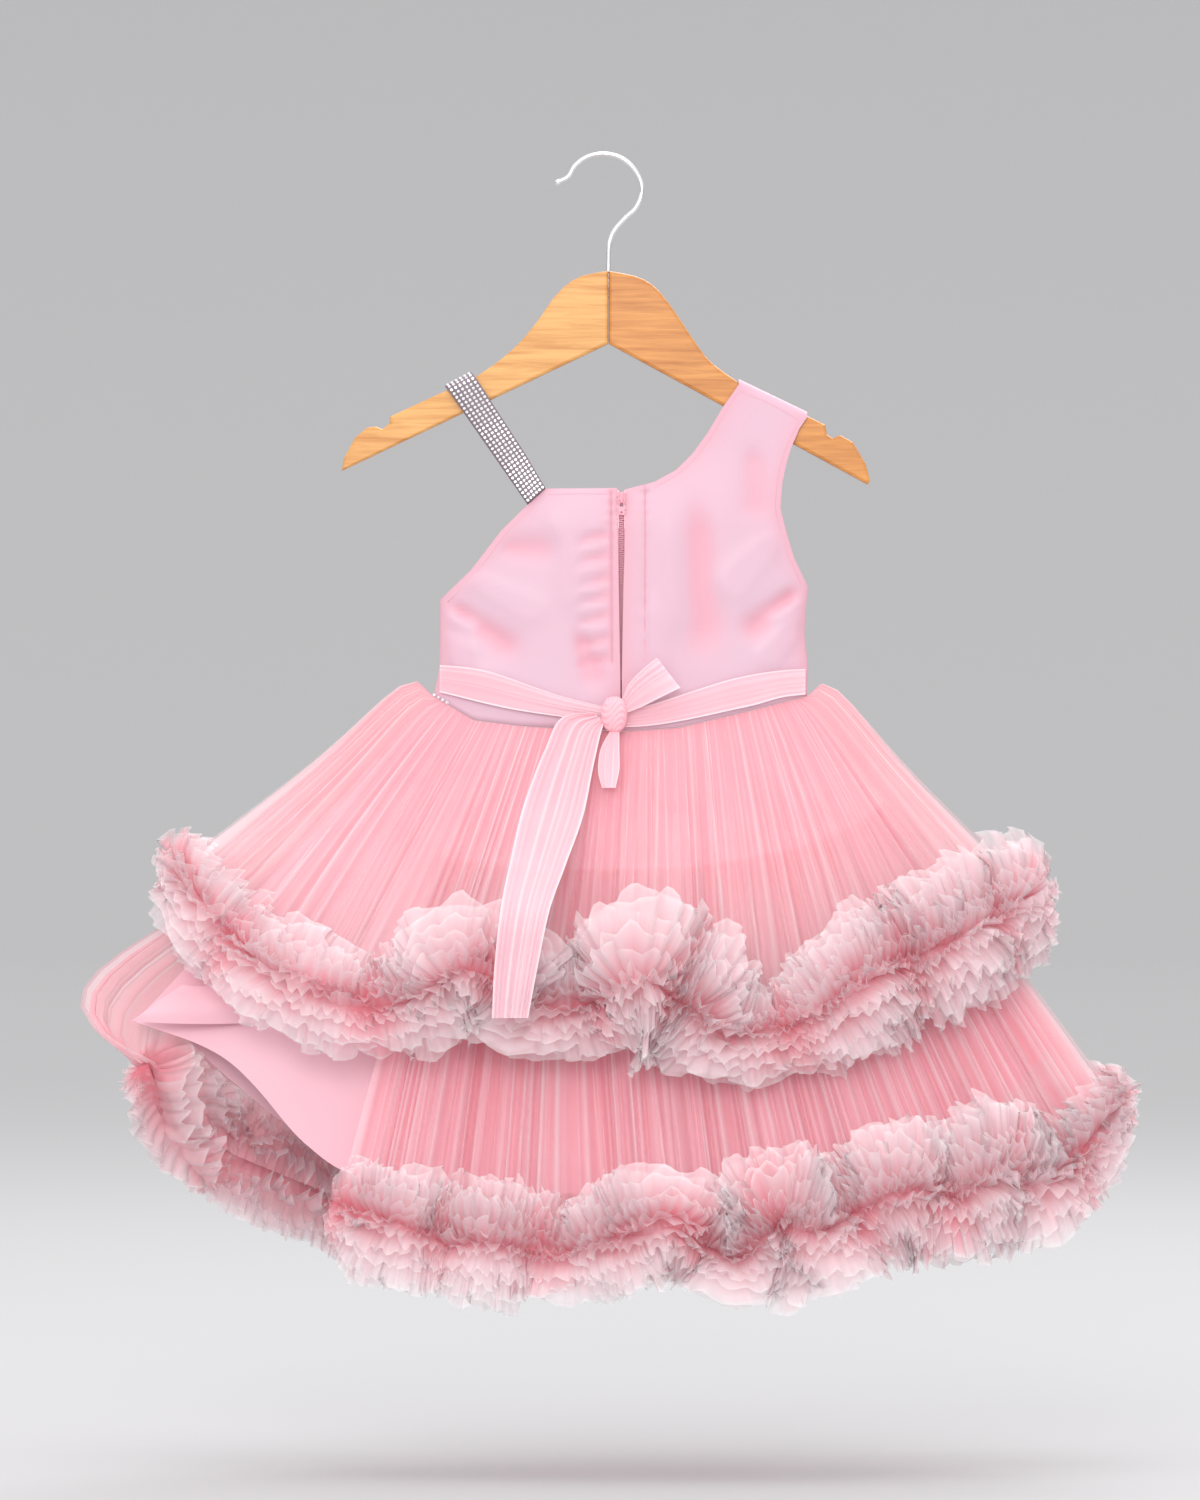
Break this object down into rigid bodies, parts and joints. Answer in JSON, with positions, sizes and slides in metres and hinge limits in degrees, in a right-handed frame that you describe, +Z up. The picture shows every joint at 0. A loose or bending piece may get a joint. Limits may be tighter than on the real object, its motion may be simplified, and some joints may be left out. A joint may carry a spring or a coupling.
{
  "type": "toddler party dress and hanger",
  "caption": "One-shoulder toddler party dress in pink satin and ruffled tulle, with a stone strap, on a wooden hanger.",
  "frame": {"origin": "the inner top of the hanger's hook, where a rail carries it", "axes": "+Z up; -Y towards the back of the garment, the side with the zip; +X to the right seen from there"},
  "size_m": [0.7031, 0.2725, 0.7687],
  "materials": {
    "satin": "satin",
    "tulle": "matte",
    "ruffle": "matte",
    "wood_light": "satin",
    "wood_dark": "satin",
    "wire": "polished",
    "stones": "polished",
    "zip": "satin"
  },
  "bodies": {
    "dress": {"hanger_arm_left": "wood_light", "hanger_arm_right": "wood_dark", "hanger_hook": "wire", "bodice_back_left": "satin", "bodice_back_right": "satin", "bodice_front": "satin", "stone_strap": "stones", "lining_back": "satin", "lining_front": "satin", "upper_tier_back": "tulle", "upper_tier_front": "tulle", "lower_tier_back": "tulle", "lower_tier_front": "tulle", "upper_ruffle_back": "ruffle", "upper_ruffle_front": "ruffle", "lower_ruffle_back": "ruffle", "lower_ruffle_front": "ruffle", "sash_band_left": "tulle", "sash_band_right": "tulle", "sash_knot": "tulle", "sash_end": "tulle", "sash_loop": "tulle", "sash_tail": "tulle", "zip_tape_left": "zip", "zip_tape_right": "zip", "zip_slider": "zip"},
    "zip_pull": {"zip_pull": "zip"}
  },
  "joints": [
    {"name": "pull_swing", "type": "hinge", "parent": "dress", "child": "zip_pull", "pos_m": [0.009, -0.0162, -0.2292], "axis": [-1, 0, 0], "range_deg": [0, 160]}
  ]
}
